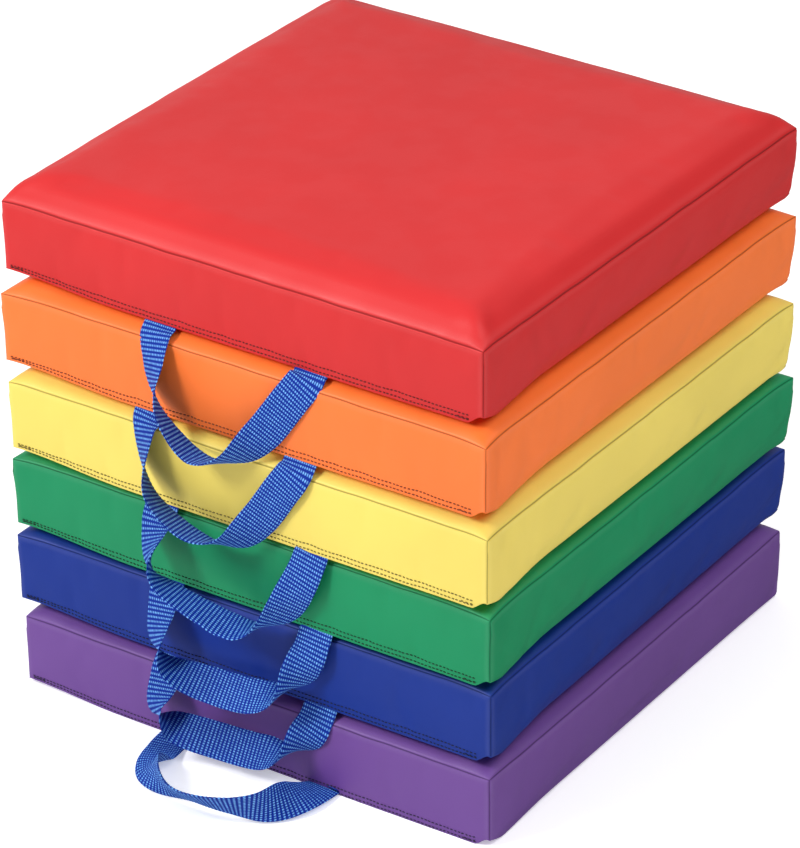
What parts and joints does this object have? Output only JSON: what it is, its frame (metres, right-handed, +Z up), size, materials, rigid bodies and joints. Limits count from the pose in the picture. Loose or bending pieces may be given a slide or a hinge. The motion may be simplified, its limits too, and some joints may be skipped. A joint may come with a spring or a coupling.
{
  "type": "stacked floor cushion set",
  "caption": "Stack of square boxed floor cushions in plain coloured vinyl, each with a webbing carrying handle sewn into its front seam.",
  "frame": {"origin": "middle of the lowest cushion's footprint, on the floor", "axes": "+X along the front edge (the handle side) to the right as seen from the front, +Y into the depth, away from the handles, +Z up"},
  "size_m": [0.3903, 0.4756, 0.381],
  "materials": {
    "red_vinyl": "semi-gloss smooth vinyl",
    "orange_vinyl": "semi-gloss smooth vinyl",
    "yellow_vinyl": "semi-gloss smooth vinyl",
    "green_vinyl": "semi-gloss smooth vinyl",
    "blue_vinyl": "semi-gloss smooth vinyl",
    "purple_vinyl": "semi-gloss smooth vinyl",
    "red_thread": "twisted polyester thread",
    "orange_thread": "twisted polyester thread",
    "yellow_thread": "twisted polyester thread",
    "green_thread": "twisted polyester thread",
    "blue_thread": "twisted polyester thread",
    "purple_thread": "twisted polyester thread",
    "webbing": "woven polypropylene webbing",
    "foam": "open-cell foam"
  },
  "bodies": {
    "purple_cushion": {"purple_foam_core": "foam", "purple_cover_top": "purple_vinyl", "purple_cover_base": "purple_vinyl", "purple_wall_front": "purple_vinyl", "purple_wall_back": "purple_vinyl", "purple_wall_left": "purple_vinyl", "purple_wall_right": "purple_vinyl", "purple_closing_stitch": "purple_thread"},
    "blue_cushion": {"blue_foam_core": "foam", "blue_cover_top": "blue_vinyl", "blue_cover_base": "blue_vinyl", "blue_wall_front": "blue_vinyl", "blue_wall_back": "blue_vinyl", "blue_wall_left": "blue_vinyl", "blue_wall_right": "blue_vinyl", "blue_closing_stitch": "blue_thread"},
    "green_cushion": {"green_foam_core": "foam", "green_cover_top": "green_vinyl", "green_cover_base": "green_vinyl", "green_wall_front": "green_vinyl", "green_wall_back": "green_vinyl", "green_wall_left": "green_vinyl", "green_wall_right": "green_vinyl", "green_closing_stitch": "green_thread"},
    "yellow_cushion": {"yellow_foam_core": "foam", "yellow_cover_top": "yellow_vinyl", "yellow_cover_base": "yellow_vinyl", "yellow_wall_front": "yellow_vinyl", "yellow_wall_back": "yellow_vinyl", "yellow_wall_left": "yellow_vinyl", "yellow_wall_right": "yellow_vinyl", "yellow_closing_stitch": "yellow_thread"},
    "orange_cushion": {"orange_foam_core": "foam", "orange_cover_top": "orange_vinyl", "orange_cover_base": "orange_vinyl", "orange_wall_front": "orange_vinyl", "orange_wall_back": "orange_vinyl", "orange_wall_left": "orange_vinyl", "orange_wall_right": "orange_vinyl", "orange_closing_stitch": "orange_thread"},
    "red_cushion": {"red_foam_core": "foam", "red_cover_top": "red_vinyl", "red_cover_base": "red_vinyl", "red_wall_front": "red_vinyl", "red_wall_back": "red_vinyl", "red_wall_left": "red_vinyl", "red_wall_right": "red_vinyl", "red_closing_stitch": "red_thread"},
    "purple_carrying_handle": {"purple_handle": "webbing"},
    "blue_carrying_handle": {"blue_handle": "webbing"},
    "green_carrying_handle": {"green_handle": "webbing"},
    "yellow_carrying_handle": {"yellow_handle": "webbing"},
    "orange_carrying_handle": {"orange_handle": "webbing"},
    "red_carrying_handle": {"red_handle": "webbing"}
  },
  "joints": [
    {"name": "blue_lift", "type": "slide", "parent": "purple_cushion", "child": "blue_cushion", "axis": [0, 0, 1], "range_m": [0, 0.1]},
    {"name": "green_lift", "type": "slide", "parent": "blue_cushion", "child": "green_cushion", "axis": [0, 0, 1], "range_m": [0, 0.1]},
    {"name": "yellow_lift", "type": "slide", "parent": "green_cushion", "child": "yellow_cushion", "axis": [0, 0, 1], "range_m": [0, 0.1]},
    {"name": "orange_lift", "type": "slide", "parent": "yellow_cushion", "child": "orange_cushion", "axis": [0, 0, 1], "range_m": [0, 0.1]},
    {"name": "red_lift", "type": "slide", "parent": "orange_cushion", "child": "red_cushion", "axis": [0, 0, 1], "range_m": [0, 0.1]},
    {"name": "purple_handle_swing", "type": "hinge", "parent": "purple_cushion", "child": "purple_carrying_handle", "pos_m": [0.00017, -0.192, 0.001], "axis": [-1, -0.0061, 0], "range_deg": [0, 12]},
    {"name": "blue_handle_swing", "type": "hinge", "parent": "blue_cushion", "child": "blue_carrying_handle", "pos_m": [-0.00366, -0.18902, 0.0648], "axis": [-1, -0.0096, 0], "range_deg": [0, 50]},
    {"name": "green_handle_swing", "type": "hinge", "parent": "green_cushion", "child": "green_carrying_handle", "pos_m": [-0.004, -0.191, 0.1256], "axis": [-1, 0, 0], "range_deg": [0, 50]},
    {"name": "yellow_handle_swing", "type": "hinge", "parent": "yellow_cushion", "child": "yellow_carrying_handle", "pos_m": [-0.004, -0.19448, 0.1864], "axis": [-1, 0.0026, 0], "range_deg": [0, 50]},
    {"name": "orange_handle_swing", "type": "hinge", "parent": "orange_cushion", "child": "orange_carrying_handle", "pos_m": [-0.0135, -0.19097, 0.2512], "axis": [-1, 0.0026, 0], "range_deg": [0, 50]},
    {"name": "red_handle_swing", "type": "hinge", "parent": "red_cushion", "child": "red_carrying_handle", "pos_m": [-0.00834, -0.18397, 0.315], "axis": [-1, 0.0096, 0], "range_deg": [0, 90]}
  ]
}
